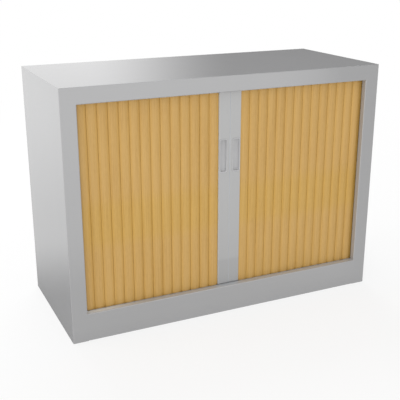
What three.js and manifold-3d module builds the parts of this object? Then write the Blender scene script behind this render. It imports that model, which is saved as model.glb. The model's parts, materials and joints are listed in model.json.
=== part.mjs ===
// A low steel cupboard with two tambour shutters that open to the sides.
// Millimetres, +Z up. The front faces -Y, and the origin is on the floor under the middle.

import * as THREE from 'three';
import { mergeVertices } from 'three/addons/utils/BufferGeometryUtils.js';
import Module from 'manifold-3d';

// Overall size
const width = 1000;
const depth = 430;
const height = 727;

// Front frame
const stileWidth = 45;
const railHeight = 46;
const plinthHeight = 85;
const setBack = 21.5; // from the front face back to the crests of the slats

// Sheet steel
const sheet = 1;
const foldRadius = 2.2; // outside radius of a folded edge
const seam = 0.2; // gap between two pieces that meet
const casingFit = 0.5; // gap between the casing and the panels inside it
const frameLip = 8; // hidden edge turned behind the frame's returns
const rearReturn = 22; // edge of a side panel turned in over the back
const rearFlange = 26; // edge of the top turned down over the back
const footFlange = 24; // edge of a side panel turned in along the floor
const panFlange = 14; // turned edge of the floor and ceiling panels

// Shutter slats
const slatCount = 14;
const slatCrown = 3.2; // how far the face bulges
const slatFaceGap = 0.3; // at the bottom of the valley between two faces
const slatWall = 1.3;
const beadRadius = 1.3;
const beadClearance = 0.35;
const socketWall = 1;
const neckThickness = 0.9;
const neckRoot = 1.4; // from the trailing edge of the face back to the neck's root
const neckRootWidth = 2.2;
const slatEndPlay = 1.5; // from a slat's end to the bottom of the track

// Leading bar
const barWidth = 35; // from the middle of the cupboard to the first slat
const barProud = 1.5; // from its face back to the crests of the slats
const barDepth = 14.5;
const barWall = 1.4;
const barCorner = 0.5;
const barLip = 5; // each side of the open back
const meetingGap = 0.3; // between the two closed bars
const barEndPlay = 1.8; // from a bar's end to the frame

// Finger pull, a cup let into the bar
const pullWidth = 26;
const pullHeight = 101;
const pullCentreHeight = 491;
const pullEdge = 1; // from the cup's rim to the slat side of the bar
const pullRimWidth = 1.6;
const pullRimProud = 0.8;
const pullCorner = 7;
const pullCupDepth = 7;
const pullWall = 1.2;
const pullDraft = 1; // how far the cup's walls lean in
const pullFloorRound = 2.5;

// Glides in the ends of a bar
const glideFit = 0.3;
const glideInsert = 18; // length inside the bar
const glidePlate = 1;
const glideTongueThickness = 7.6;
const glideTongueInset = 3; // from the bar's edges to the tongue

// Tracks
const trackClearance = 0.6; // each side of a slat
const trackWall = 1.4;
const trackWeb = 1.5;
const trackHeight = 12;
const cornerRadius = 42; // of the middle of the track

// Linings, with rows of slots for the shelf clips
const liningFrontFlange = 27;
const liningRearFlange = 16;
const slotLength = 11;
const slotHeight = 5;
const slotPitch = 48;
const slotRows = 11;
const firstSlotHeight = 60; // above the floor panel
const slotFromFront = 48; // first row, behind the lining's front edge
const slotFromBack = 52; // second row, before the lining's rear edge

// Shelf and its clips
const shelfSlot = 6; // the slot from the bottom that holds the shelf
const shelfThickness = 28;
const shelfReturn = 12;
const shelfFrontSetback = 3; // behind the lining's front edge
const shelfBackGap = 6;
const shelfSideGap = 0.6;
const clipFit = 0.3;
const clipLedge = 14;
const clipPlate = 1.4;
const clipHeel = 17;
const clipHook = 3.2; // how far the hook reaches down behind the lining
const clipHookThickness = 1;

// Levelling feet
const footRadius = 17;
const footPad = 7;
const footEdge = 1.5;
const footNeckRadius = 7;
const footNeckHeight = 5;
const stemRadius = 4;
const stemClearance = 0.3;
const stemSunk = 0.5; // below the face of the floor panel
const bushRadius = 9;
const bushLength = 14;
const footFromSide = 62;
const footFromEnd = 58; // from the front and back faces

// How finely round forms are divided
const foldSteps = 2;
const cornerSteps = 4;
const faceSteps = 10;
const beadSteps = 7;
const ringSteps = 6;
const roundSegments = 16;
const pullCornerSteps = 3;

// What every cut runs past the solid it cuts
const overrun = 2;

// Places that follow from the sizes above
const halfWidth = width / 2;
const front = -depth / 2;
const back = depth / 2;
const openingHalf = halfWidth - stileWidth;
const openingTop = height - railHeight;
const openingBottom = plinthHeight;
const slatPitch = (openingHalf - barWidth) / slatCount;
const socketRadius = beadRadius + beadClearance;
const ringRadius = socketRadius + socketWall;
const hingeDepth = slatCrown + ringRadius; // behind the crests
const slatThickness = hingeDepth + ringRadius;
const hingeInset = slatFaceGap / 2 + ringRadius; // of a slat's own socket from its leading edge
const trackHalf = slatThickness / 2 + trackClearance + trackWall;
const shutterFace = front + setBack;
const frontRun = shutterFace + slatThickness / 2;
const sideRun = halfWidth - sheet - seam - trackHalf;
const cornerX = sideRun - cornerRadius;
const cornerY = frontRun + cornerRadius;
const frameReturn = frontRun - trackHalf - seam - front;
const backFace = back - sheet - casingFit; // outer face of the back panel
const innerBack = backFace - sheet;
const deckTop = openingBottom - trackHeight - seam;
const ceilingBottom = openingTop + trackHeight + seam;
const slatBottom = openingBottom - trackHeight + trackWeb + slatEndPlay;
const slatTop = openingTop + trackHeight - trackWeb - slatEndPlay;
const barFace = shutterFace - barProud;
const barBottom = openingBottom + barEndPlay;
const barTop = openingTop - barEndPlay;
const liningOuter = sideRun - trackHalf - seam;
const liningInner = liningOuter - sheet;
const liningBack = innerBack - seam;
const slotRowFront = cornerY + slotFromFront;
const slotRowBack = liningBack - slotFromBack;
const shelfBottom = deckTop + firstSlotHeight + (shelfSlot - 1) * slotPitch + slotHeight;

const wasm = await Module();
wasm.setup();

// Finishes
const finishes = {
  steel: { color: 0xb4b6b8, roughness: 0.35, metalness: 0.6 },
  slat: { color: 0xcba364, roughness: 0.45, metalness: 0 },
  bar: { color: 0xb2b3b3, roughness: 0.4, metalness: 0.5 },
  pull: { color: 0xa4a6a8, roughness: 0.45, metalness: 0.2 },
  track: { color: 0xaaaaac, roughness: 0.55, metalness: 0 },
  nylon: { color: 0x7b7b7d, roughness: 0.6, metalness: 0 },
  zinc: { color: 0xbcbec2, roughness: 0.3, metalness: 0.9 },
};

// Joining and cutting

function toSolid(geometry) {
  const bare = geometry.clone();
  bare.deleteAttribute('normal');
  bare.deleteAttribute('uv');
  const merged = mergeVertices(bare);
  return new wasm.Manifold(new wasm.Mesh({
    numProp: 3,
    vertProperties: merged.attributes.position.array,
    triVerts: new Uint32Array(merged.index.array),
  }));
}

function toGeometry(solid) {
  const mesh = solid.getMesh();
  const geometry = new THREE.BufferGeometry();
  geometry.setAttribute('position', new THREE.BufferAttribute(mesh.vertProperties, 3));
  geometry.setIndex(new THREE.BufferAttribute(mesh.triVerts, 1));
  geometry.computeVertexNormals();
  return geometry;
}

function cut(body, tools) {
  let solid = toSolid(body);
  for (const tool of tools) {
    solid = solid.subtract(toSolid(tool));
  }
  return toGeometry(solid);
}

function join(bodies) {
  let solid = toSolid(bodies[0]);
  for (const body of bodies.slice(1)) {
    solid = solid.add(toSolid(body));
  }
  return toGeometry(solid);
}

function trim(body, keeper) {
  return toGeometry(toSolid(body).intersect(toSolid(keeper)));
}

// Swaps left and right, and turns the faces out again.
function mirrored(geometry) {
  const other = toGeometry(toSolid(geometry));
  other.scale(-1, 1, 1);
  const index = other.index.array;
  for (let i = 0; i < index.length; i += 3) {
    [index[i], index[i + 1]] = [index[i + 1], index[i]];
  }
  other.computeVertexNormals();
  return other;
}

// A piece drawn for the right-hand side, or its mirror image for the left.
function onSide(side, geometry) {
  return side === 'left' ? mirrored(geometry) : geometry;
}

// Basic forms

// A plan outline pulled up from bottom to top.
function pullUp(shape, bottom, top) {
  const geometry = new THREE.ExtrudeGeometry(shape, {
    depth: top - bottom,
    bevelEnabled: false,
    curveSegments: foldSteps,
  });
  return geometry.translate(0, 0, bottom);
}

// An outline drawn as (y, z), seen from the right-hand end, pulled along X.
function pullAcross(shape, left, right) {
  const geometry = new THREE.ExtrudeGeometry(shape, {
    depth: right - left,
    bevelEnabled: false,
    curveSegments: foldSteps,
  });
  geometry.applyMatrix4(new THREE.Matrix4().makeBasis(
    new THREE.Vector3(0, 1, 0),
    new THREE.Vector3(0, 0, 1),
    new THREE.Vector3(1, 0, 0),
  ));
  return geometry.translate(left, 0, 0);
}

// An outline drawn as (x, z), seen from the front, pulled back from near to far.
function pullBack(shape, near, far) {
  const geometry = new THREE.ExtrudeGeometry(shape, {
    depth: far - near,
    bevelEnabled: false,
    curveSegments: foldSteps,
  });
  geometry.applyMatrix4(new THREE.Matrix4().makeBasis(
    new THREE.Vector3(1, 0, 0),
    new THREE.Vector3(0, 0, 1),
    new THREE.Vector3(0, -1, 0),
  ));
  return geometry.translate(0, far, 0);
}

function outline(points) {
  return new THREE.Shape(points.map(([a, b]) => new THREE.Vector2(a, b)));
}

function block(x, y, z) {
  return pullUp(outline([[x[0], y[0]], [x[1], y[0]], [x[1], y[1]], [x[0], y[1]]]), z[0], z[1]);
}

// Points of a round stretch, from one angle to another in degrees.
function arcPoints(centre, radius, from, to, steps) {
  const points = [];
  for (let i = 0; i <= steps; i += 1) {
    const angle = THREE.MathUtils.degToRad(from + (to - from) * i / steps);
    points.push([centre[0] + radius * Math.cos(angle), centre[1] + radius * Math.sin(angle)]);
  }
  return points;
}

// The outline of a folded strip of metal. The points are the corners of its outer face, every fold turns left,
// and the metal lies to the left of them.
function foldedStrip(points, thickness, radius) {
  const last = points.length - 1;
  const ways = points.slice(0, last).map((p, i) => {
    const run = new THREE.Vector2(points[i + 1][0] - p[0], points[i + 1][1] - p[1]);
    return run.normalize();
  });
  const outer = [points[0]];
  const inner = [[points[0][0] - ways[0].y * thickness, points[0][1] + ways[0].x * thickness]];
  for (let i = 1; i < last; i += 1) {
    const into = ways[i - 1];
    const out = ways[i];
    const centre = [
      points[i][0] + (out.x - into.x) * radius,
      points[i][1] + (out.y - into.y) * radius,
    ];
    const start = THREE.MathUtils.radToDeg(Math.atan2(-into.x, into.y));
    const quarter = 90;
    outer.push(...arcPoints(centre, radius, start, start + quarter, foldSteps * 2));
    inner.push(...arcPoints(centre, radius - thickness, start, start + quarter, foldSteps * 2));
  }
  const end = ways[last - 1];
  outer.push(points[last]);
  inner.push([points[last][0] - end.y * thickness, points[last][1] + end.x * thickness]);
  return outline([...outer, ...inner.reverse()]);
}

// A rectangle with round corners about a centre, as points.
function roundedRectangle(centre, size, radius, steps) {
  const x = size[0] / 2 - radius;
  const y = size[1] / 2 - radius;
  const corners = [[x, y, 0], [-x, y, 90], [-x, -y, 180], [x, -y, 270]];
  return corners.flatMap(([dx, dy, from]) => (
    arcPoints([centre[0] + dx, centre[1] + dy], radius, from, from + 90, steps)
  ));
}

// Rings of equal point counts joined one to the next, with the first and last closed over.
function loft(rings) {
  const count = rings[0].length;
  const positions = rings.flat(2);
  const index = [];
  for (let r = 0; r + 1 < rings.length; r += 1) {
    for (let i = 0; i < count; i += 1) {
      const a = r * count + i;
      const b = r * count + (i + 1) % count;
      index.push(a, b, b + count, a, b + count, a + count);
    }
  }
  const lastRing = (rings.length - 1) * count;
  for (let i = 1; i + 1 < count; i += 1) {
    index.push(0, i + 1, i);
    index.push(lastRing, lastRing + i, lastRing + i + 1);
  }
  const geometry = new THREE.BufferGeometry();
  geometry.setAttribute('position', new THREE.Float32BufferAttribute(positions, 3));
  geometry.setIndex(index);
  geometry.computeVertexNormals();
  return geometry;
}

// Casing

function ascending(a, b) {
  return a - b;
}

// What lies inside the casing's outer corners, seen from above.
function casingPlan(bottom, top) {
  const corners = roundedRectangle([0, 0], [width, depth], foldRadius, foldSteps * 2);
  return pullUp(outline(corners), bottom, top);
}

// The top and its front rail in one folded sheet. Over the opening the rail also has an underside and a hidden lip.
function topPanel() {
  const skin = [
    [back, height - rearFlange],
    [back, height],
    [front, height],
    [front, openingTop],
  ];
  const rail = [
    ...skin,
    [front + frameReturn, openingTop],
    [front + frameReturn, openingTop + frameLip],
  ];
  const folded = join([
    pullAcross(foldedStrip(skin, sheet, foldRadius), -halfWidth, -openingHalf),
    pullAcross(foldedStrip(rail, sheet, foldRadius), -openingHalf, openingHalf),
    pullAcross(foldedStrip(skin, sheet, foldRadius), openingHalf, halfWidth),
  ]);
  const below = [openingTop - overrun, height - sheet];
  const notches = [-1, 1].flatMap((way) => {
    const web = [way * (halfWidth - sheet - seam), way * (halfWidth + overrun)].sort(ascending);
    const edge = [way * (halfWidth - rearReturn - seam), way * (halfWidth + overrun)].sort(ascending);
    return [
      block(web, [front + sheet, back], below),
      block(edge, [back - foldRadius, back + overrun], below),
    ];
  });
  return trim(cut(folded, notches), casingPlan(openingTop - overrun, height + overrun));
}

// A side and its stile in one folded sheet, with edges turned in behind and along the floor.
// Beside the opening the stile also has a return and a hidden lip.
function sidePanel(side) {
  const rear = [
    [halfWidth, back],
    [halfWidth - rearReturn, back],
  ];
  const stile = [[openingHalf, front], [halfWidth, front], ...rear];
  const framed = [
    [openingHalf + frameLip, front + frameReturn],
    [openingHalf, front + frameReturn],
    ...stile,
  ];
  const web = [[halfWidth, front + sheet], ...rear];
  const wallTop = height - sheet;
  const foot = block(
    [halfWidth - footFlange, halfWidth - sheet / 2],
    [front + footFlange, back - sheet / 2],
    [0, sheet],
  );
  const wall = join([
    pullUp(foldedStrip(stile, sheet, foldRadius), 0, openingBottom),
    pullUp(foldedStrip(framed, sheet, foldRadius), openingBottom, openingTop),
    pullUp(foldedStrip(web, sheet, foldRadius), openingTop, wallTop),
    foot,
  ]);
  return onSide(side, trim(wall, casingPlan(-overrun, height)));
}

// The plinth fills the front under the shutters, and its top is the sill.
function plinth() {
  const fold = foldedStrip([
    [front + frameReturn, openingBottom - frameLip],
    [front + frameReturn, openingBottom],
    [front, openingBottom],
    [front, 0],
    [front + frameReturn, 0],
    [front + frameReturn, frameLip],
  ], sheet, foldRadius);
  return pullAcross(fold, -openingHalf, openingHalf);
}

// Plan of the floor and ceiling panels, drawn in by a margin.
function innerPlan(margin) {
  const side = halfWidth - sheet - casingFit - margin;
  const near = front + sheet + casingFit + margin;
  const far = innerBack - casingFit - margin;
  return outline([[-side, near], [side, near], [side, far], [-side, far]]);
}

function footPlaces() {
  const x = halfWidth - footFromSide;
  return {
    front_left: [-x, front + footFromEnd],
    front_right: [x, front + footFromEnd],
    back_left: [-x, back - footFromEnd],
    back_right: [x, back - footFromEnd],
  };
}

function upright(radius, place, bottom, top) {
  const geometry = new THREE.CylinderGeometry(radius, radius, top - bottom, roundSegments);
  geometry.rotateX(Math.PI / 2);
  return geometry.translate(place[0], place[1], (bottom + top) / 2);
}

// The floor carries the lower tracks, and a threaded bush for each levelling foot.
function floorPanel() {
  const shell = pullUp(innerPlan(0), deckTop - panFlange, deckTop);
  const hollow = pullUp(innerPlan(sheet), deckTop - panFlange - overrun, deckTop - sheet);
  const tray = cut(shell, [hollow]);
  const bushes = Object.values(footPlaces()).map((place) => (
    upright(bushRadius, place, deckTop - sheet - bushLength, deckTop - sheet / 2)
  ));
  const bores = Object.values(footPlaces()).map((place) => (
    upright(stemRadius + stemClearance, place, deckTop - bushLength - overrun, deckTop + overrun)
  ));
  return cut(join([tray, ...bushes]), bores);
}

// The inner ceiling carries the upper tracks. Its edges turn up under the top.
function ceilingPanel() {
  const high = ceilingBottom + panFlange;
  const shell = pullUp(innerPlan(0), ceilingBottom, high);
  return cut(shell, [pullUp(innerPlan(sheet), ceilingBottom + sheet, high + overrun)]);
}

function backPanel() {
  const side = halfWidth - sheet - casingFit;
  return block([-side, side], [innerBack, backFace], [sheet + casingFit, height - sheet - casingFit]);
}

// The lining stands between the open shutter and the shelf, and has two rows of slots for the clips.
function lining(side) {
  const fold = foldedStrip([
    [liningOuter - liningFrontFlange, cornerY],
    [liningOuter, cornerY],
    [liningOuter, liningBack],
    [liningOuter - liningRearFlange, liningBack],
  ], sheet, foldRadius);
  const wall = pullUp(fold, deckTop + seam, ceilingBottom - seam);
  const slots = [];
  for (const row of [slotRowFront, slotRowBack]) {
    for (let i = 0; i < slotRows; i += 1) {
      const bottom = deckTop + firstSlotHeight + i * slotPitch;
      slots.push(block(
        [liningInner - overrun, liningOuter + overrun],
        [row - slotLength / 2, row + slotLength / 2],
        [bottom, bottom + slotHeight],
      ));
    }
  }
  return onSide(side, cut(wall, slots));
}

// Tracks

// Plan of a strip beside the middle line of the track: along the front, round the corner and along the side.
// Offsets count outwards from that line, towards the front and the side of the cupboard.
function routeStrip(inner, outer, start, end) {
  const quarter = 90;
  return outline([
    [start, frontRun - outer],
    ...arcPoints([cornerX, cornerY], cornerRadius + outer, -quarter, 0, cornerSteps * 2),
    [sideRun + outer, end],
    [sideRun + inner, end],
    ...arcPoints([cornerX, cornerY], cornerRadius + inner, 0, -quarter, cornerSteps * 2),
    [start, frontRun - inner],
  ]);
}

// A channel that holds the ends of the slats. It is open at the middle of the cupboard, and shut behind.
function track(side, level) {
  const channel = trackHalf - trackWall;
  const end = innerBack - seam;
  const lower = [openingBottom - trackHeight, openingBottom];
  const upper = [openingTop, openingTop + trackHeight];
  const [bottom, top] = level === 'lower' ? lower : upper;
  const rib = pullUp(routeStrip(-trackHalf, trackHalf, meetingGap / 2, end), bottom, top);
  const floor = level === 'lower' ? bottom + trackWeb : bottom - overrun;
  const roof = level === 'lower' ? top + overrun : top - trackWeb;
  const groove = pullUp(routeStrip(-channel, channel, -overrun, end - trackWall), floor, roof);
  return onSide(side, cut(rib, [groove]));
}

// Shutters

// The bead and its neck, which reach past a trailing edge at x into the socket of the next slat.
function tonguePoints(root, edge) {
  const centre = [edge + hingeInset, shutterFace + hingeDepth];
  const halfNeck = neckThickness / 2;
  const neckAngle = THREE.MathUtils.radToDeg(Math.asin(halfNeck / beadRadius));
  return [
    [root, centre[1] - halfNeck],
    ...arcPoints(centre, beadRadius, -180 + neckAngle, 180 - neckAngle, beadSteps),
    [root, centre[1] + halfNeck],
  ];
}

// One slat: a bulging face with a socket at its leading edge and a bead behind its trailing edge.
function slatOutline(edge) {
  const near = edge + slatFaceGap / 2;
  const far = edge + slatPitch - slatFaceGap / 2;
  const halfChord = (far - near) / 2;
  const faceRadius = (halfChord ** 2 + slatCrown ** 2) / (2 * slatCrown);
  const faceCentre = [(near + far) / 2, shutterFace + faceRadius];
  const spread = THREE.MathUtils.radToDeg(Math.asin(halfChord / faceRadius));
  const hinge = [edge + hingeInset, shutterFace + hingeDepth];
  const innerRadius = faceRadius - slatWall;
  const underside = (x) => faceCentre[1] - Math.sqrt(innerRadius ** 2 - (x - faceCentre[0]) ** 2);
  const angleAt = (x) => THREE.MathUtils.radToDeg(Math.asin((x - faceCentre[0]) / innerRadius));
  const root = far - neckRoot;
  const rootInner = root - neckRootWidth;
  const edgeDepth = shutterFace + slatCrown + slatWall;
  const up = -90;
  const face = arcPoints(faceCentre, faceRadius, up - spread, up + spread, faceSteps);
  const under = arcPoints(
    faceCentre,
    innerRadius,
    up + angleAt(rootInner),
    up + angleAt(hinge[0] + ringRadius),
    faceSteps - 2,
  );
  const mouth = [-150, 110];
  const meets = -35;
  const tongue = tonguePoints(root, edge + slatPitch);
  tongue[tongue.length - 1] = [rootInner, tongue[tongue.length - 1][1]];
  return outline([
    ...face,
    [far, edgeDepth],
    [root, edgeDepth],
    ...tongue,
    [rootInner, underside(rootInner)],
    ...under.slice(1),
    ...arcPoints(hinge, ringRadius, meets, mouth[1], ringSteps),
    ...arcPoints(hinge, socketRadius, mouth[1], mouth[0], beadSteps),
    [near, edgeDepth],
  ]);
}

function slat(side, number) {
  const edge = barWidth + (number - 1) * slatPitch;
  return onSide(side, pullUp(slatOutline(edge), slatBottom, slatTop));
}

function pullCentre() {
  return [barWidth - slatFaceGap / 2 - pullEdge - pullWidth / 2, pullCentreHeight];
}

// The leading bar, an extruded channel open behind, with a window for the pull and a bead for the first slat.
function leadingBar(side) {
  const near = meetingGap / 2;
  const far = barWidth - slatFaceGap / 2;
  const rear = barFace + barDepth;
  const middle = [(near + far) / 2, (barFace + rear) / 2];
  const profile = outline(roundedRectangle(middle, [far - near, barDepth], barCorner, foldSteps));
  const tongue = outline(tonguePoints(far - barWall / 2, barWidth));
  const body = join([pullUp(profile, barBottom, barTop), pullUp(tongue, barBottom, barTop)]);
  const through = [barBottom - overrun, barTop + overrun];
  const hollow = block([near + barWall, far - barWall], [barFace + barWall, rear - barWall], through);
  const mouth = block([near + barLip, far - barLip], [rear - barWall - overrun, rear + overrun], through);
  const size = [pullWidth - 2 * pullRimWidth, pullHeight - 2 * pullRimWidth];
  const corner = pullCorner - pullRimWidth;
  const window = roundedRectangle(pullCentre(), size, corner, pullCornerSteps);
  const hole = pullBack(outline(window), barFace - overrun, barFace + barWall + overrun);
  return onSide(side, cut(body, [hollow, mouth, hole]));
}

// The finger pull: a rim on the face of the bar, and a cup behind it with a rounded floor.
function fingerPull(side) {
  const ring = (inset, y) => roundedRectangle(
    pullCentre(),
    [pullWidth - 2 * inset, pullHeight - 2 * inset],
    Math.max(pullCorner - inset, pullWall),
    pullCornerSteps,
  ).map(([x, z]) => [x, y, z]);
  const face = barFace - glideFit;
  const proud = face - pullRimProud;
  const outerWall = pullRimWidth + glideFit;
  const innerWall = outerWall + pullWall;
  const floor = barFace + pullCupDepth;
  return onSide(side, loft([
    ring(outerWall + pullDraft + pullFloorRound, floor + pullWall),
    ring(outerWall + pullDraft, floor + pullWall - pullFloorRound),
    ring(outerWall, face),
    ring(0, face),
    ring(0, face - pullRimProud / 2),
    ring(pullRimProud / 2, proud),
    ring(innerWall, proud),
    ring(innerWall + pullDraft, floor - pullFloorRound),
    ring(innerWall + pullDraft + pullFloorRound, floor),
  ]));
}

// A glide: a plug in the end of the bar, a plate on the end, and a tongue that runs in the track.
function glide(side, level) {
  const near = meetingGap / 2;
  const far = barWidth - slatFaceGap / 2;
  const wall = barWall + glideFit;
  const middle = (near + far) / 2;
  const plug = roundedRectangle(
    [middle, barFace + barDepth / 2],
    [far - near - 2 * wall, barDepth - 2 * wall],
    barCorner,
    foldSteps,
  );
  const plate = roundedRectangle(
    [middle, barFace + barDepth / 2],
    [far - near, barDepth],
    barCorner,
    foldSteps,
  );
  const tongue = roundedRectangle(
    [middle, frontRun],
    [far - near - 2 * glideTongueInset, glideTongueThickness],
    glideTongueThickness / 2 - glideFit,
    pullCornerSteps,
  );
  const down = level === 'lower' ? 1 : -1;
  const end = level === 'lower' ? barBottom - glideFit : barTop + glideFit;
  const tip = level === 'lower' ? slatBottom : slatTop;
  const span = (a, b) => [a, b].sort(ascending);
  const layers = [
    [plug, span(end - down * glidePlate / 2, end + down * glideInsert)],
    [plate, span(end - down * glidePlate, end)],
    [tongue, span(tip, end - down * glidePlate / 2)],
  ];
  const pieces = layers.map(([points, [low, high]]) => pullUp(outline(points), low, high));
  return onSide(side, join(pieces));
}

// Shelf

function shelf() {
  const side = liningInner - shelfSideGap;
  const near = cornerY + shelfFrontSetback;
  const far = liningBack - shelfBackGap;
  const bottom = shelfBottom;
  const top = bottom + shelfThickness;
  const rectangle = (margin) => [
    [-side + margin, near + margin],
    [side - margin, near + margin],
    [side - margin, far - margin],
    [-side + margin, far - margin],
  ];
  const shell = pullUp(outline(rectangle(0)), bottom, top);
  return cut(shell, [
    pullUp(outline(rectangle(sheet)), bottom + sheet, top - sheet),
    pullUp(outline(rectangle(shelfReturn)), bottom - overrun, top - sheet - overrun),
  ]);
}

// A clip: its hook passes through a slot and drops behind the lining, and its ledge carries the shelf.
function shelfClip(side, row) {
  const lugTop = shelfBottom - seam;
  const lugBottom = lugTop - slotHeight + clipFit + seam;
  const hookNear = liningOuter + clipFit;
  const hookFar = hookNear + clipHookThickness;
  const plateFar = liningInner - clipFit;
  const plateNear = plateFar - clipPlate;
  const ledgeBottom = lugTop - clipPlate;
  const shape = outline([
    [plateFar - clipLedge, ledgeBottom],
    [plateNear, ledgeBottom],
    [plateNear, lugTop - clipHeel],
    [plateFar, lugTop - clipHeel],
    [plateFar, lugBottom],
    [hookNear, lugBottom],
    [hookNear, lugBottom - clipHook],
    [hookFar, lugBottom - clipHook],
    [hookFar, lugTop],
    [plateFar - clipLedge, lugTop],
  ]);
  const halfWay = slotLength / 2 - clipFit;
  const place = row === 'front' ? slotRowFront : slotRowBack;
  return onSide(side, pullBack(shape, place - halfWay, place + halfWay));
}

// Levelling foot: a pad on the floor and a stem up through the bush.
function levellingFoot(place) {
  const profile = [
    [0, 0],
    [footRadius - footEdge, 0],
    [footRadius, footEdge],
    [footRadius, footPad - footEdge],
    [footRadius - footEdge, footPad],
    [footNeckRadius, footPad],
    [footNeckRadius, footPad + footNeckHeight],
    [stemRadius, footPad + footNeckHeight],
    [stemRadius, deckTop - stemSunk],
    [0, deckTop - stemSunk],
  ].map(([radius, level]) => new THREE.Vector2(radius, level));
  const geometry = new THREE.LatheGeometry(profile, roundSegments);
  geometry.rotateX(Math.PI / 2);
  return geometry.translate(place[0], place[1], 0);
}

// Assembly

function named(name, geometry, finish) {
  const mesh = new THREE.Mesh(geometry, new THREE.MeshStandardMaterial(finishes[finish]));
  mesh.name = name;
  return mesh;
}

function shutter(side) {
  const group = new THREE.Group();
  group.add(named(`${side}_leading_bar`, leadingBar(side), 'bar'));
  group.add(named(`${side}_finger_pull`, fingerPull(side), 'pull'));
  for (const level of ['upper', 'lower']) {
    group.add(named(`${side}_${level}_glide`, glide(side, level), 'nylon'));
  }
  for (let number = 1; number <= slatCount; number += 1) {
    const label = String(number).padStart(2, '0');
    group.add(named(`${side}_slat_${label}`, slat(side, number), 'slat'));
  }
  return group;
}

const cupboard = new THREE.Group();
cupboard.add(named('top_panel', topPanel(), 'steel'));
cupboard.add(named('ceiling_panel', ceilingPanel(), 'steel'));
cupboard.add(named('floor_panel', floorPanel(), 'steel'));
cupboard.add(named('plinth', plinth(), 'steel'));
cupboard.add(named('back_panel', backPanel(), 'steel'));
cupboard.add(named('shelf', shelf(), 'steel'));
for (const side of ['left', 'right']) {
  cupboard.add(named(`${side}_side_panel`, sidePanel(side), 'steel'));
  cupboard.add(named(`${side}_lining`, lining(side), 'steel'));
  for (const level of ['upper', 'lower']) {
    cupboard.add(named(`${side}_${level}_track`, track(side, level), 'track'));
  }
  for (const row of ['front', 'back']) {
    cupboard.add(named(`${side}_${row}_shelf_clip`, shelfClip(side, row), 'zinc'));
  }
  cupboard.add(shutter(side));
}
for (const [corner, place] of Object.entries(footPlaces())) {
  cupboard.add(named(`${corner}_foot`, levellingFoot(place), 'nylon'));
}

export default cupboard;
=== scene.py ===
# %% [markdown]
# # A low cupboard with tambour shutters
#
# The real cupboard is folded sheet steel with a satin silver-grey coat. Two shutters of beech-coloured
# slats close its front. Each shutter ends in a grey bar with a finger pull, and the two bars meet in the
# middle.
#
# The measured model is loaded first and stays as it is. Every later cell gives one finish or one finer
# piece to it.

# %% Load the measured model
import json
import math

import bmesh
import bpy
from mathutils import Matrix, Vector


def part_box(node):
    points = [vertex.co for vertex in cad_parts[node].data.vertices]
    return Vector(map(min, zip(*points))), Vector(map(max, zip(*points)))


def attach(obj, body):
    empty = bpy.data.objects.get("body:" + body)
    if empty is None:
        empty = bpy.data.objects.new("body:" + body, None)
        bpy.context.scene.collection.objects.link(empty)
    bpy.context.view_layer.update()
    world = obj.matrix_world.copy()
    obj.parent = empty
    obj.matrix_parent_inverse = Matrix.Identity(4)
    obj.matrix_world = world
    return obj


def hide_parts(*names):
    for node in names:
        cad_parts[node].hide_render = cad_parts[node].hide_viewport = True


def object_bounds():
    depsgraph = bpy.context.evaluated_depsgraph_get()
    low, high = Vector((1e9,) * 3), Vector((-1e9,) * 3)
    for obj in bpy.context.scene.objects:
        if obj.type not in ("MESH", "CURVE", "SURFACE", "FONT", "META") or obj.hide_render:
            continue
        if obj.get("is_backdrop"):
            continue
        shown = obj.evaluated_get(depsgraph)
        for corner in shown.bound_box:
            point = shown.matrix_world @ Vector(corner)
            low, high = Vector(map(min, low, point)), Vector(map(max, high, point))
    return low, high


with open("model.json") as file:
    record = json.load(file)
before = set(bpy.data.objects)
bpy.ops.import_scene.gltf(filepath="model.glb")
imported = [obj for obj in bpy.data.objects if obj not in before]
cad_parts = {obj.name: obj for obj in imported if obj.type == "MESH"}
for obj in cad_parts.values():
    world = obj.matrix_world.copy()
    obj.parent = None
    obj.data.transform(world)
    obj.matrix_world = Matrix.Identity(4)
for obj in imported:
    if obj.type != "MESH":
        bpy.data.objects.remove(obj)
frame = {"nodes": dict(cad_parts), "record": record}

low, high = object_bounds()
MM = 0.001
SIDES = ("left", "right")
print("size in mm:", [round((b - a) / MM, 1) for a, b in zip(low, high)])

# %% [markdown]
# ## The camera
#
# The photograph was taken from the front left, a little above the top, with a mild telephoto view. A
# camera could be aimed with a constraint, but fixed angles are easier to compare with the picture, so the
# place and the turn are set as plain numbers. The view is level from side to side, so the second angle is
# zero.

# %% Place the camera
camera_place = (-0.9644, -2.0522, 1.0542)
camera_tilt = 71.477
camera_turn = -25.064
camera_lens = 66.75
sensor_width = 36.0

camera_data = bpy.data.cameras.new("studio_camera")
camera_data.sensor_width = sensor_width
camera_data.lens = camera_lens
camera = bpy.data.objects.new("studio_camera", camera_data)
camera.location = camera_place
camera.rotation_euler = (math.radians(camera_tilt), 0.0, math.radians(camera_turn))
bpy.context.scene.collection.objects.link(camera)
bpy.context.scene.camera = camera
bpy.context.scene.view_settings.view_transform = "Standard"
print("field of view:", round(math.degrees(camera_data.angle), 1), "degrees")

# %% [markdown]
# ## Sums on sockets
#
# A finish is a net of nodes, and most of them are small sums. Written node by node, a sum is hard to
# read. This class wraps one output and lets Python's own signs add the Math nodes, so that a mask can be
# written as `1 - noise * 0.2`.

# %% A small language for finishes
class Signal:
    """One output of a node. Sums on it add Math nodes to the same finish."""

    def __init__(self, finish, socket):
        self.finish = finish
        self.socket = socket

    def _math(self, operation, first, second):
        return self.finish.node("ShaderNodeMath", {"operation": operation}, {0: first, 1: second})

    def __add__(self, other):
        return self._math("ADD", self, other)

    __radd__ = __add__

    def __sub__(self, other):
        return self._math("SUBTRACT", self, other)

    def __rsub__(self, other):
        return self._math("SUBTRACT", other, self)

    def __mul__(self, other):
        return self._math("MULTIPLY", self, other)

    __rmul__ = __mul__


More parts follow.
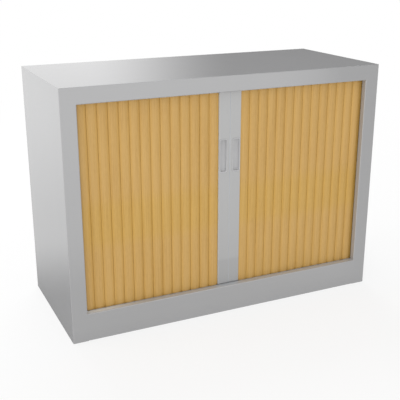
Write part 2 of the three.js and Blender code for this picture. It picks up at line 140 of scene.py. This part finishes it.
class Finish:
    """The material of one finish, built node by node."""

    def __init__(self, name, owner=None):
        self.material = owner or bpy.data.materials.new(name)
        self.material.use_nodes = True
        self.tree = self.material.node_tree
        self.tree.nodes.clear()

    def node(self, kind, settings=None, sockets=None, out=0):
        """Adds a node with its settings, then its values and links, and gives back one output."""
        made = self.tree.nodes.new(kind)
        for name, value in (settings or {}).items():
            if name == "stops":
                self._stops(made.color_ramp, value)
            else:
                setattr(made, name, value)
        for name, value in (sockets or {}).items():
            if isinstance(value, Signal):
                self.tree.links.new(value.socket, made.inputs[name])
            else:
                made.inputs[name].default_value = value
        return Signal(self, made.outputs[out]) if len(made.outputs) else None

    def _stops(self, ramp, stops):
        while len(ramp.elements) < len(stops):
            ramp.elements.new(0.5)
        for element, (place, colour) in zip(ramp.elements, stops):
            element.position = place
            element.color = colour

    def place(self):
        """Where a point lies in the cupboard's own frame, in metres."""
        return self.node("ShaderNodeTexCoord", out="Object")

    def along(self, axis):
        """One coordinate of that place: X, Y or Z."""
        return self.node("ShaderNodeSeparateXYZ", sockets={"Vector": self.place()}, out=axis)

    def from_middle(self, axis):
        """How far a point lies from the middle of the cupboard along one axis."""
        return self.node("ShaderNodeMath", {"operation": "ABSOLUTE"}, {0: self.along(axis)})

    def stretched(self, scale):
        """The place with each axis scaled by itself, for grain and brushed marks."""
        settings = {"operation": "MULTIPLY"}
        return self.node("ShaderNodeVectorMath", settings, {0: self.place(), 1: scale}, out="Vector")

    def noise(self, scale, detail=2.0, vector=None):
        """A soft noise between about 0.3 and 0.7, centred on a half."""
        sockets = {"Vector": vector or self.place(), "Scale": scale, "Detail": detail}
        return self.node("ShaderNodeTexNoise", {"noise_dimensions": "3D"}, sockets, out="Fac")

    def fade(self, value, start, end):
        """0 where the value is at start, 1 where it is at end, and smooth between."""
        sockets = {"Value": value, "From Min": start, "From Max": end}
        return self.node("ShaderNodeMapRange", {"interpolation_type": "SMOOTHSTEP"}, sockets, out="Result")

    def between(self, value, rise, fall):
        """1 between two fades: it rises over the first pair of values and falls over the second."""
        return self.fade(value, *rise) * (1 - self.fade(value, *fall))

    def blend(self, factor, first, second, blend_type="MIX"):
        """A colour between two others, or with MULTIPLY their product."""
        settings = {"data_type": "RGBA", "blend_type": blend_type}
        sockets = {"Factor": factor, "A": first, "B": second}
        return self.node("ShaderNodeMix", settings, sockets, out="Result")

    def tinted(self, factor, colour, tint):
        """A colour multiplied by a tint, which makes it darker and more coloured."""
        return self.blend(factor, colour, tint, "MULTIPLY")

    def bump(self, height, strength, distance):
        """A small relief for the Normal socket."""
        sockets = {"Height": height, "Strength": strength, "Distance": distance}
        return self.node("ShaderNodeBump", None, sockets)

    def surface(self, **sockets):
        """Ends the finish with a Principled surface."""
        named = {name.replace("_", " "): value for name, value in sockets.items()}
        shader = self.node("ShaderNodeBsdfPrincipled", None, named, out="BSDF")
        self.node("ShaderNodeOutputMaterial", None, {"Surface": shader})
        return self.material


def rgb(red, green, blue):
    """A colour given as linear shares of 1."""
    return (red, green, blue, 1.0)


def scaled(tone, share):
    """A tone made darker or paler."""
    return rgb(*(share * part for part in tone))


WHITE = rgb(1.0, 1.0, 1.0)
print("signs in use: + - *")

# %% [markdown]
# ## Room and background
#
# The photograph is a studio picture on white, and its satin coat mirrors the room: the left of the top
# and the upper part of the left side are bright, the right of the top and everything near the floor are
# dark. Lamps alone can't give that, because a pale coat under even light has no shape. So the world is a
# small room: white all round, with one dark wall to the right, and darker towards the floor at the foot
# of the cupboard. The wall's edge is soft high up, for the top, and firmer low down, where the rail
# mirrors it.
#
# A world knows nothing of a ray but its direction. So the wall begins where the direction points far
# enough to the right, and the dark of the floor where it points far enough down. Each edge is a fade
# between two such values.
#
# Only shiny rays see the room. The camera sees plain white behind the cupboard. The light that falls on
# the cupboard comes from all sides, a little more from the left, where the slats' flanks are paler in the
# photograph. It is plain, so that the colours hold under other lamps too.

# %% Room
ambient_strength = 0.78
ambient_from_left = 0.3
room_dark = 0.125
wall_way = (0.9954, 0.0958, 0.0)
wall_start = 0.366
wall_end = 0.545
low_wall_start = 0.42
low_wall_edge = 0.486
low_wall_slope = 0.4
edge_blur = 0.001
level_blur = 0.05
near_floor = (-0.435, -0.355)
far_floor = (-0.38, -0.16)
near_floor_share = 0.65


def seen_directly(net):
    """1 where a ray comes from the camera, off a shiny surface or through a clear one."""
    camera_ray = net.node("ShaderNodeLightPath", out="Is Camera Ray")
    glossy_ray = net.node("ShaderNodeLightPath", out="Is Glossy Ray")
    clear_ray = net.node("ShaderNodeLightPath", out="Is Transmission Ray")
    return camera_ray + glossy_ray + clear_ray


world = bpy.data.worlds.new("studio_world")
bpy.context.scene.world = world
room = Finish("studio_room", world)
way = room.node("ShaderNodeTexCoord", out="Generated")
height_of_ray = room.node("ShaderNodeSeparateXYZ", None, {"Vector": way}, out="Z")
dot = {"operation": "DOT_PRODUCT"}
towards_wall = room.node("ShaderNodeVectorMath", dot, {0: way, 1: wall_way}, out="Value")
high_wall = room.fade(towards_wall, wall_start, wall_end)
slope = room.fade(towards_wall, low_wall_start, low_wall_edge)
step = room.fade(towards_wall, low_wall_edge - edge_blur, low_wall_edge + edge_blur)
low_wall = low_wall_slope * slope + (1 - low_wall_slope) * step
upwards = room.fade(height_of_ray, -level_blur, level_blur)
wall = low_wall + upwards * (high_wall - low_wall)
near = room.fade(height_of_ray, *near_floor)
far = room.fade(height_of_ray, *far_floor)
above_floor = near_floor_share * near + (1 - near_floor_share) * far
mirrored = room_dark + (1 - room_dark) * above_floor * (1 - wall)
camera_ray = room.node("ShaderNodeLightPath", out="Is Camera Ray")
seen = seen_directly(room)
shown = camera_ray + (seen - camera_ray) * mirrored
sideways = room.node("ShaderNodeSeparateXYZ", None, {"Vector": way}, out="X")
all_round = ambient_strength * (1 - ambient_from_left * sideways)
strength = shown + (1 - seen) * all_round
sky = room.node("ShaderNodeBackground", None, {"Color": WHITE, "Strength": strength}, out="Background")
room.node("ShaderNodeOutputWorld", None, {"Surface": sky})
print("light from all sides:", ambient_strength, "more from the left:", ambient_from_left)

# %% [markdown]
# ## Floor and lamps
#
# The floor is plain and pale, and it keeps a faint shadow, so that the cupboard stands on something.
# Further out it fades into the white of the background. Part of it glows, so that it gives the sides
# their share of light from below.
#
# Three wide lamps do the rest. One stands in front, a little to the left, and low enough for the rail to
# throw hardly a shadow on the slats. One lights the left side, and one stands behind and lights the top.
# All are far away, so both shutters get the same light. Glossy surfaces don't mirror them, or they would
# show as bright squares.

# %% Floor
floor_size = 14.0
floor_drop = 0.5 * MM
floor_tone = 0.86
fade_start = 1.6
fade_end = 3.4
floor_shadow = 0.2
floor_glow = 0.65

bpy.ops.object.select_all(action="DESELECT")
bpy.ops.mesh.primitive_plane_add(size=floor_size, location=(0.0, 0.0, -floor_drop))
floor = bpy.context.object
floor.name = "studio_floor"
floor.visible_glossy = False
studio = Finish("studio_floor_finish")
distance = studio.node("ShaderNodeVectorMath", {"operation": "LENGTH"}, {0: studio.place()}, out="Value")
floor_colour = rgb(floor_tone, floor_tone, floor_tone)
painted = studio.node("ShaderNodeBsdfDiffuse", None, {"Color": floor_colour}, out="BSDF")
glow = studio.node("ShaderNodeEmission", None, {"Color": WHITE, "Strength": 1.0}, out="Emission")
white_share = 1 - floor_shadow * (1 - studio.fade(distance, fade_start, fade_end))
glow_share = floor_glow + seen_directly(studio) * (white_share - floor_glow)
mixed = studio.node("ShaderNodeMixShader", None, {0: glow_share, 1: painted, 2: glow}, out="Shader")
studio.node("ShaderNodeOutputMaterial", None, {"Surface": mixed})
floor.data.materials.append(studio.material)
floor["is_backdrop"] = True
print("floor:", floor_size, "m across")

# %% Lamps
lamp_size = 2.6
lamp_target = (0.0, 0.0, 0.4)


def wide_lamp(name, place, power):
    """A square lamp that looks at the middle of the cupboard."""
    data = bpy.data.lights.new(name, "AREA")
    data.shape = "SQUARE"
    data.size = lamp_size
    data.energy = power
    lamp = bpy.data.objects.new(name, data)
    lamp.location = place
    lamp.rotation_euler = (Vector(lamp_target) - Vector(place)).to_track_quat("-Z", "Y").to_euler()
    lamp.visible_glossy = False
    bpy.context.scene.collection.objects.link(lamp)


wide_lamp("front_lamp", (-1.2, -4.2, 0.9), 33.0)
wide_lamp("side_lamp", (-3.8, 0.9, 2.2), 28.0)
wide_lamp("back_lamp", (0.3, 2.6, 3.8), 75.0)
print("lamps: 3")

# %% [markdown]
# ## Silver-grey coat
#
# Office steel has a satin powder coat: grey, slightly metallic, with a fine orange peel that only shows
# in the highlight. A flat grey would look like plastic. So the tone drifts a little over the sheets, the
# roughness has soft wipe marks, and a very fine noise gives the peel.
#
# Some places are painted paler, as painted light. On the casing it is the sill under the slats, most of
# all on its left, as in the photograph: a painted reflection of the bright room, which here the slats hide
# from it. On the bars it is the long edges: painted light against the shade in the narrow gaps beside the
# first slat and where the two bars meet. Each place has a mask made of fades. It is 1 where the painted
# light is strongest, and 0 where there is none.

# %% Rubbed places
front_face = low.y
sill_front = (front_face + 1.5 * MM, front_face + 4 * MM)
sill_back = (front_face + 24 * MM, front_face + 26 * MM)
sill_height = 85 * MM
sill_bottom = (sill_height - 3 * MM, sill_height - 1 * MM)
sill_top = (sill_height + 0.5 * MM, sill_height + 2 * MM)
sill_end = high.x - 45 * MM
end_blur = 1 * MM
# The sill's painted reflection fades out from its left end towards the middle.
sill_reflection_from = -sill_end
sill_reflection_to = -0.25
share_lost = 0.75

bar_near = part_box("right_leading_bar")[0].x
bar_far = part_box("right_slat_01")[0].x
meeting_edge = (bar_near + 0.3 * MM, bar_near + 1.2 * MM)
slat_edge = (bar_far - 0.65 * MM, bar_far - 0.2 * MM)
meeting_share = 0.35


# Painted reflection: the sill is made paler, most of all at its left end, where it would mirror the bright
# room.
def painted_sill_reflection(coat):
    """1 at the left end of the sill, and less to the right."""
    in_depth = coat.between(coat.along("Y"), sill_front, sill_back)
    in_height = coat.between(coat.along("Z"), sill_bottom, sill_top)
    in_width = 1 - coat.fade(coat.from_middle("X"), sill_end - end_blur, sill_end + end_blur)
    share = 1 - share_lost * coat.fade(coat.along("X"), sill_reflection_from, sill_reflection_to)
    return in_depth * in_height * in_width * share


# Painted light: the bars' edges beside the first slat and where the bars meet are made paler, against the
# shade in these narrow gaps.
def painted_bar_edge_light(coat):
    """1 on the edge beside the first slat, and less on the edge where the bars meet."""
    across = coat.from_middle("X")
    meeting = 1 - coat.fade(across, *meeting_edge)
    beside_slat = coat.fade(across, *slat_edge)
    return meeting_share * meeting + beside_slat


print("each bar's edge lies", round(bar_near / MM, 2), "mm from the middle")

# %% [markdown]
# One function makes all three coats. The casing mirrors the most, and the inside is duller. Near the floor
# there is a little dust and scuffing on the casing, which makes it darker and rougher. On the bars the
# same mask reaches up to about 165 mm, and there the darker part is a painted reflection of the dark
# floor; it is rougher too.

# %% Coats for sheet steel
# The tone of the painted light: the sill's painted reflection and the bars' painted pale edges.
painted_pale_tone = rgb(0.80, 0.89, 0.99)
darkest = 0.5
palest = 1.5
plain_share = 0.45
drift_scale = 2.2
drift_share = 0.06
flake_scale = 1400.0
flake_share = 0.05
wipe_scale = (14.0, 14.0, 3.0)
wipe_roughness = 0.1
roughness_low_down = 0.06
peel_strength = 0.12
peel_height = 0.1 * MM


def steel_coat(
    name, tone, metallic, roughness, peel, painted_light_mask=None, darkening_from=0.0, darkening_to=50 * MM, dust_and_reflection_depth=0.035,
):
    """A satin coat. Peel is the scale of the orange peel, and the mask function gives the places that are
    painted paler, as painted light and reflection.
    """
    coat = Finish(name)
    drift = coat.noise(drift_scale, detail=1.0)
    flake = coat.noise(flake_scale, detail=1.0)
    wipe = coat.noise(1.0, detail=3.0, vector=coat.stretched(wipe_scale))
    # Darker and rougher towards the bottom: dust on the casing, and on the bars a painted reflection of
    # the dark floor.
    dust_and_reflection_mask = 1 - coat.fade(coat.along("Z"), darkening_from, darkening_to)
    share = plain_share + drift_share * drift + flake_share * flake - dust_and_reflection_depth * dust_and_reflection_mask
    colour = coat.blend(share, scaled(tone, darkest), scaled(tone, palest))
    # Painted light and reflection: the coat takes the pale tone where the mask is 1.
    if painted_light_mask:
        colour = coat.blend(painted_light_mask(coat), colour, painted_pale_tone)
    rough = roughness + wipe_roughness * (wipe - 0.5) + roughness_low_down * dust_and_reflection_mask
    relief = coat.bump(coat.noise(peel), peel_strength, peel_height)
    return coat.surface(Base_Color=colour, Metallic=metallic, Roughness=rough, Normal=relief)


casing_coat = steel_coat(
    "silver_grey_coat", (0.45, 0.45, 0.455), metallic=0.15, roughness=0.08, peel=700.0, painted_light_mask=painted_sill_reflection,
)
inner_coat = steel_coat("inner_grey_coat", (0.42, 0.42, 0.42), metallic=0.12, roughness=0.40, peel=700.0)
# On the bars the darker lower part, below about 165 mm, is a painted reflection of the dark floor.
bar_coat = steel_coat(
    "bar_grey_coat", (0.48, 0.48, 0.48), metallic=0.18, roughness=0.15, peel=1100.0, painted_light_mask=painted_bar_edge_light,
    darkening_from=158 * MM, darkening_to=172 * MM, dust_and_reflection_depth=0.075,
)
print("steel coats: 3")

# %% [markdown]
# ## Beech-coloured slats
#
# The slats are moulded plastic with a printed beech pattern: a warm yellow-brown with a fine upright
# grain, short darker flecks and a slow change of tone along each slat. Stretching a noise along Z makes
# the grain run upright. The flecks, which are a finer noise of the same kind, also give a faint relief
# that breaks up the shine.
#
# Two thin tints make the slats darker and more yellow in places. One is painted shade in the valleys
# between the slats, where the light goes from slat to slat and grows more yellow. The other is a band
# across both shutters, below the middle, as in the photograph.

# %% Beech plastic
grain_scale = (420.0, 420.0, 7.0)
fleck_scale = (900.0, 900.0, 60.0)
cloud_scale = (16.0, 16.0, 3.0)
grain_share = 0.50
fleck_share = 0.35
cloud_share = 0.15
beech_stops = [
    (0.30, rgb(0.515, 0.299, 0.084)),
    (0.50, rgb(0.607, 0.370, 0.115)),
    (0.70, rgb(0.660, 0.417, 0.144)),
]
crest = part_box("right_slat_01")[0].y
valley_from = crest + 0.2 * MM
valley_to = crest + 2.4 * MM
# Painted shade and bounce light in the valleys between the slats.
valley_shade_tint = rgb(1.0, 0.97, 0.79)
band_bottom = (250 * MM, 300 * MM)
band_top = (370 * MM, 430 * MM)
band_tint = rgb(1.0, 1.0, 0.84)
beech_roughness = 0.40
fleck_roughness = 0.15
fleck_strength = 0.10
fleck_height = 0.2 * MM


def beech_plastic():
    """Upright grain, flecks and clouds on three tones of beech, under two tints: a band, and painted shade
    in the valleys.
    """
    beech = Finish("beech_plastic")
    grain = beech.noise(1.0, detail=4.0, vector=beech.stretched(grain_scale))
    fleck = beech.noise(1.0, detail=2.0, vector=beech.stretched(fleck_scale))
    cloud = beech.noise(1.0, detail=1.0, vector=beech.stretched(cloud_scale))
    tone = grain_share * grain + fleck_share * fleck + cloud_share * cloud
    printed = beech.node("ShaderNodeValToRGB", {"stops": beech_stops}, {"Fac": tone}, out="Color")
    band = beech.between(beech.along("Z"), band_bottom, band_top)
    warmed = beech.tinted(band, printed, band_tint)
    # Painted shade: the print turns darker and more yellow towards the valleys between the slats.
    valley_shade = beech.fade(beech.along("Y"), valley_from, valley_to)
    colour = beech.tinted(valley_shade, warmed, valley_shade_tint)
    rough = beech_roughness + fleck_roughness * fleck
    relief = beech.bump(fleck, fleck_strength, fleck_height)
    return beech.surface(Base_Color=colour, Roughness=rough, Normal=relief)


slat_finish = beech_plastic()
print("slat finish:", slat_finish.name)

# %% [markdown]
# ## Moulded plastics and zinc
#
# The small parts are plain mouldings. Each still has a fine moulded texture and a little change in its
# sheen, or it would look unfinished next to the slats. The clips are zinc plated, which is a soft metal
# shine with pale clouds.

# %% Small finishes
moulded_darkest = 0.8
moulded_palest = 1.2
moulded_cloud_scale = 18.0
spot_share = 0.4
moulded_roughness = 0.1
moulded_strength = 0.15
moulded_height = 0.1 * MM
zinc_dark = rgb(0.50, 0.51, 0.54)
zinc_pale = rgb(0.72, 0.73, 0.75)
zinc_cloud_scale = 160.0
zinc_roughness = 0.22
zinc_cloud_roughness = 0.2


def moulding(name, tone, roughness, texture):
    """A moulded plastic: texture is the scale of the fine spots on it."""
    plastic = Finish(name)
    spots = plastic.noise(texture)
    cloud = plastic.noise(moulded_cloud_scale)
    dark = scaled(tone, moulded_darkest)
    light = scaled(tone, moulded_palest)
    colour = plastic.blend(spot_share * spots + (1 - spot_share) * cloud, dark, light)
    relief = plastic.bump(spots, moulded_strength, moulded_height)
    rough = roughness + moulded_roughness * (cloud - 0.5)
    return plastic.surface(Base_Color=colour, Roughness=rough, Normal=relief)


def zinc_plate():
    """A bare metal shine with pale clouds, which are a little rougher."""
    zinc = Finish("zinc_plate")
    cloud = zinc.noise(zinc_cloud_scale, detail=3.0)
    colour = zinc.blend(cloud, zinc_dark, zinc_pale)
    rough = zinc_roughness + zinc_cloud_roughness * cloud
    return zinc.surface(Base_Color=colour, Metallic=1.0, Roughness=rough)


pull_finish = moulding("pull_plastic", (0.49, 0.49, 0.495), 0.38, 1500.0)
track_finish = moulding("track_plastic", (0.40, 0.40, 0.41), 0.5, 1200.0)
nylon_finish = moulding("grey_nylon", (0.20, 0.20, 0.205), 0.5, 1200.0)
foot_finish = moulding("foot_plastic", (0.03, 0.03, 0.03), 0.55, 1000.0)
zinc_finish = zinc_plate()
print("small finishes: 5")

# %% [markdown]
# ## Give each measured piece its finish
#
# Most measured pieces have the right shapes already, so they stay and only their material changes. The
# slats and the pulls are made again further down. The record says which finish each piece takes, so the
# table below is short.

# %% Assign the finishes
finish_of_slot = {
    "casing_steel": casing_coat,
    "inner_steel": inner_coat,
    "slat_plastic": slat_finish,
    "bar_metal": bar_coat,
    "pull_plastic": pull_finish,
    "track_plastic": track_finish,
    "glide_nylon": nylon_finish,
    "clip_zinc": zinc_finish,
    "foot_plastic": foot_finish,
}
for entry in frame["record"]["subparts"]:
    piece = frame["nodes"][entry["node"]]
    piece.data.materials.clear()
    piece.data.materials.append(finish_of_slot[entry["material_slot"]])

# %% [markdown]
# ## Working by hand, in code
#
# The finer pieces below are made the way one would make them at the screen: a primitive is added, some of
# its faces or edges are selected, and an operator shapes what is selected. In code, the choice has to be
# made by place. These helpers do that, and they close each piece with its finish.

# %% Helpers for modelling
merge_distance = 0.01 * MM
rounding_steps = 3


def start_flat(name, place, turn, size):
    """A flat rectangle at a place, turned and sized, ready in edit mode with all of it selected."""
    bpy.ops.object.select_all(action="DESELECT")
    bpy.ops.mesh.primitive_plane_add(size=1.0, location=place, rotation=turn)
    piece = bpy.context.object
    piece.name = name
    piece.scale = (size[0], size[1], 1.0)
    bpy.ops.object.transform_apply(location=True, rotation=True, scale=True)
    bpy.ops.object.mode_set(mode="EDIT")
    bpy.ops.mesh.select_all(action="SELECT")
    return piece


def select_edges(piece, wanted):
    """Selects the edges of which both ends are wanted."""
    bpy.ops.mesh.select_mode(type="EDGE")
    bpy.ops.mesh.select_all(action="DESELECT")
    net = bmesh.from_edit_mesh(piece.data)
    for edge in net.edges:
        edge.select_set(all(wanted(vertex.co) for vertex in edge.verts))
    net.select_flush_mode()
    bmesh.update_edit_mesh(piece.data)


def leave_edit():
    """Merges doubles, turns all faces out and goes back to object mode."""
    bpy.ops.mesh.select_mode(type="VERT")
    bpy.ops.mesh.select_all(action="SELECT")
    bpy.ops.mesh.remove_doubles(threshold=merge_distance)
    bpy.ops.mesh.normals_make_consistent(inside=False)
    bpy.ops.object.mode_set(mode="OBJECT")


def apply_modifier(piece, kind, **settings):
    """Adds a modifier, gives it its settings and applies it."""
    modifier = piece.modifiers.new(kind.lower(), kind)
    for name, value in settings.items():
        setattr(modifier, name, value)
    bpy.context.view_layer.objects.active = piece
    bpy.ops.object.modifier_apply(modifier=modifier.name)


def weld(piece, others):
    """Joins other bodies to a piece, so that one closed body is left."""
    for other in others:
        apply_modifier(piece, "BOOLEAN", operation="UNION", solver="EXACT", object=other)
        bpy.data.objects.remove(other)


def round_edges(piece, width, bend):
    """Rounds the edges that bend by more than an angle in radians."""
    apply_modifier(
        piece, "BEVEL", width=width, segments=rounding_steps, limit_method="ANGLE", angle_limit=bend,
    )


def smooth(piece, bend):
    """Smooth shading, but for edges that bend by more than an angle in radians."""
    bpy.ops.object.select_all(action="DESELECT")
    piece.select_set(True)
    bpy.context.view_layer.objects.active = piece
    bpy.ops.object.shade_smooth_by_angle(angle=bend)


def place_copy(model, name, shift, mirror, body, node, slot):
    """Puts a copy of a model, with a mesh of its own, in the place of a measured piece."""
    piece = bpy.data.objects.new(name, model.data.copy())
    bpy.context.scene.collection.objects.link(piece)
    piece.data.transform(Matrix.Translation(shift))
    if mirror:
        piece.data.transform(Matrix.Diagonal((-1.0, 1.0, 1.0, 1.0)))
        piece.data.flip_normals()
    piece.data.materials.clear()
    piece.data.materials.append(finish_of_slot[slot])
    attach(piece, body)
    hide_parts(node)


print("helpers: 8")

# %% [markdown]
# ## A slat
#
# A slat is one plastic extrusion: a bulging face, a web behind its trailing edge with a neck and a round
# bead, and behind its leading edge a socket that takes the bead of the slat before it. The face could be
# bent from a flat strip with a modifier, but spinning a thin section about the centre of the bulge gives
# the true arc at once. The socket is spun in the same way. All parts are welded together, and the long
# edges of the face are rounded, which makes the soft valleys between the slats.
#
# The last slat has no neighbour. It has a plain tail in place of the neck and bead, which reaches behind
# the stile and closes the view past its edge.

# %% Sizes of a slat
slat_low, slat_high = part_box("right_slat_01")
slat_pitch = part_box("right_slat_02")[0].x - slat_low.x
slat_length = slat_high.z - slat_low.z
slat_middle = (slat_high.z + slat_low.z) / 2
face_gap = 0.3 * MM
face_crown = 3.2 * MM
face_wall = 1.3 * MM
face_round = 0.4 * MM
face_steps = 20
face_edge = math.radians(40)
slat_smooth = math.radians(30)
bead_radius = 1.3 * MM
bead_sides = 20
bead_room = 0.35 * MM
ring_wall = 1.0 * MM
neck_wall = 0.9 * MM
web_inset = 1.4 * MM
web_wall = 2.2 * MM
tail_width = 5.0 * MM
tail_wall = 0.8 * face_wall
tail_gap = 0.1 * face_wall

face_width = slat_pitch - face_gap
face_radius = ((face_width / 2) ** 2 + face_crown ** 2) / (2 * face_crown)
face_angle = 2 * math.asin(face_width / 2 / face_radius)
face_middle = slat_low.x + face_width / 2
arc_centre = Vector((face_middle, slat_low.y + face_radius, slat_middle))
ring_radius = bead_radius + bead_room + ring_wall
hinge_depth = face_crown + ring_radius
socket_centre = Vector((slat_low.x + ring_radius, slat_low.y + hinge_depth, slat_middle))
bead_centre = socket_centre + Vector((slat_pitch, 0.0, 0.0))
print("pitch in mm:", round(slat_pitch / MM, 2), "radius of the bulge in mm:", round(face_radius / MM, 1))

# %% [markdown]
# With no window open, both the rotate and the spin operator turn clockwise seen from above for a positive
# angle. The helper below takes its angles the usual way round and gives the operators the opposite sign.

# %% Spin a thin section
def spun_wall(name, centre, radius, wall, start, sweep, steps):
    """A wall of even thickness round an upright axis. Angles are in radians, and zero faces the front."""
    piece = start_flat(
        name,
        (centre.x, centre.y - radius + wall / 2, centre.z),
        (0.0, math.radians(90), 0.0),
        (slat_length, wall),
    )
    bpy.ops.transform.rotate(value=-start, orient_axis="Z", center_override=centre)
    bpy.ops.mesh.spin(steps=steps, angle=-sweep, center=centre, axis=(0.0, 0.0, 1.0))
    leave_edit()
    return piece


def strip(name, corner, opposite):
    """A straight upright wall between two corners of its plan, over the whole length of a slat."""
    middle = ((corner[0] + opposite[0]) / 2, (corner[1] + opposite[1]) / 2, slat_low.z)
    size = (opposite[0] - corner[0], opposite[1] - corner[1])
    piece = start_flat(name, middle, (0.0, 0.0, 0.0), size)
    bpy.ops.mesh.extrude_region_move(TRANSFORM_OT_translate={"value": (0.0, 0.0, slat_length)})
    leave_edit()
    return piece


slat_model = spun_wall(
    "slat_model", arc_centre, face_radius, face_wall, -face_angle / 2, face_angle, face_steps,
)
round_edges(slat_model, face_round, face_edge)
face_box = [round(length / MM, 2) for length in slat_model.dimensions]
print("face:", len(slat_model.data.polygons), "faces,", face_box, "mm")

# %% Socket and web
socket_start = math.radians(-60)
socket_sweep = math.radians(260)
socket_steps = 20
socket = spun_wall(
    "slat_socket", socket_centre, ring_radius, ring_wall, socket_start, socket_sweep, socket_steps,
)
face_end = slat_low.x + face_width
web_end = face_end - web_inset
web_front = slat_low.y + face_crown / 2 + face_wall / 2
neck_back = bead_centre.y + neck_wall / 2
web = strip("slat_web", (web_end - web_wall, web_front), (web_end, neck_back))
weld(slat_model, [socket, web])
print("face, socket and web:", len(slat_model.data.polygons), "faces")

# %% Tail of the last slat
last_model = bpy.data.objects.new("last_slat_model", slat_model.data.copy())
bpy.context.scene.collection.objects.link(last_model)
web_middle = web_end - web_wall / 2
tail_front = slat_low.y + face_crown + tail_gap
tail = strip("slat_tail", (web_middle, tail_front), (face_end + tail_width, tail_front + tail_wall))
weld(last_model, [tail])
smooth(last_model, slat_smooth)
print("tail in mm:", round(tail_width / MM, 1))

# %% Neck and bead of the others
neck = strip("slat_neck", (web_middle, neck_back - neck_wall), (bead_centre.x, neck_back))
bpy.ops.mesh.primitive_cylinder_add(
    vertices=bead_sides, radius=bead_radius, depth=slat_length, location=bead_centre,
)
bead = bpy.context.object
bpy.ops.object.transform_apply(location=True, rotation=True, scale=True)
weld(slat_model, [neck, bead])
smooth(slat_model, slat_smooth)
model_low = Vector(min(corner[axis] for corner in slat_model.bound_box) for axis in range(3))
model_high = Vector(max(corner[axis] for corner in slat_model.bound_box) for axis in range(3))
beyond = [round(length / MM, 2) for length in (*(model_low - slat_low), *(model_high - slat_high))]
print("slat against the measured one, mm:", beyond)

# %% Copy the slat
slat_count = sum(name.startswith("right_slat") for name in frame["nodes"])
for side in SIDES:
    for number in range(1, slat_count + 1):
        node = f"{side}_slat_{number:02d}"
        shift = Vector(((number - 1) * slat_pitch, 0.0, 0.0))
        model = last_model if number == slat_count else slat_model
        place_copy(model, f"{node}_fine", shift, side == "left", node, node, "slat_plastic")
bpy.data.objects.remove(slat_model)
bpy.data.objects.remove(last_model)
print("slats:", 2 * slat_count)

# %% [markdown]
# ## A finger pull
#
# The pull is a shallow moulded cup with a narrow flange that lies on the face of the bar. It is made from
# one upright rectangle: its corners are rounded, an inset leaves the flange, the rest is pushed in and
# drawn together, and the floor gets its soft edge. Two modifiers then give the sheet its thickness and
# round its lips.

# %% Model the finger pull
pull_low, pull_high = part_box("right_finger_pull")
pull_centre = (pull_low + pull_high) / 2
pull_size = pull_high - pull_low
pull_corner = 7.0 * MM
pull_corner_steps = 8
pull_flange = 3.1 * MM
pull_wall = 1.0 * MM
pull_back = 1.2 * MM
pull_draft = 1.0 * MM
pull_floor_round = 2.5 * MM
pull_floor_steps = 5
pull_floor_near = 0.1 * MM
pull_lip_round = 0.35 * MM
pull_lip = math.radians(50)
pull_smooth = math.radians(35)

pull_model = start_flat(
    "pull_model",
    (pull_centre.x, pull_low.y, pull_centre.z),
    (math.radians(90), 0.0, 0.0),
    (pull_size.x, pull_size.z),
)
bpy.ops.mesh.bevel(affect="VERTICES", offset=pull_corner, segments=pull_corner_steps, offset_type="OFFSET")
bpy.ops.mesh.select_mode(type="FACE")
bpy.ops.mesh.select_all(action="SELECT")
bpy.ops.mesh.inset(thickness=pull_flange, depth=0.0)
cup_depth = pull_size.y - pull_back
bpy.ops.mesh.extrude_region_move(TRANSFORM_OT_translate={"value": (0.0, cup_depth, 0.0)})
cup_width = pull_size.x - 2 * pull_flange
cup_height = pull_size.z - 2 * pull_flange
cup_floor = pull_low.y + cup_depth
shrink = ((cup_width - 2 * pull_draft) / cup_width, 1.0, (cup_height - 2 * pull_draft) / cup_height)
bpy.ops.transform.resize(value=shrink, center_override=(pull_centre.x, cup_floor, pull_centre.z))
select_edges(pull_model, lambda place: abs(place.y - cup_floor) < pull_floor_near)
bpy.ops.mesh.bevel(affect="EDGES", offset=pull_floor_round, segments=pull_floor_steps)
leave_edit()
bpy.context.view_layer.objects.active = pull_model
apply_modifier(pull_model, "SOLIDIFY", thickness=pull_wall, offset=-1.0)
round_edges(pull_model, pull_lip_round, pull_lip)
smooth(pull_model, pull_smooth)
pull_box = [round(length / MM, 2) for length in pull_model.dimensions]
print("pull in mm:", pull_box, "measured:", [round(length / MM, 2) for length in pull_size])

# %% Fit the pulls
for side in SIDES:
    place_copy(
        pull_model,
        f"{side}_finger_pull_fine",
        Vector((0.0, 0.0, 0.0)),
        side == "left",
        f"{side}_shutter_lead",
        f"{side}_finger_pull",
        "pull_plastic",
    )
bpy.data.objects.remove(pull_model)
print("pulls: 2")

# %% [markdown]
# ## Finish
#
# The box round the dressed model is found again. The dressed model must not be larger than the measured
# one.

# %% Finish
low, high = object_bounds()
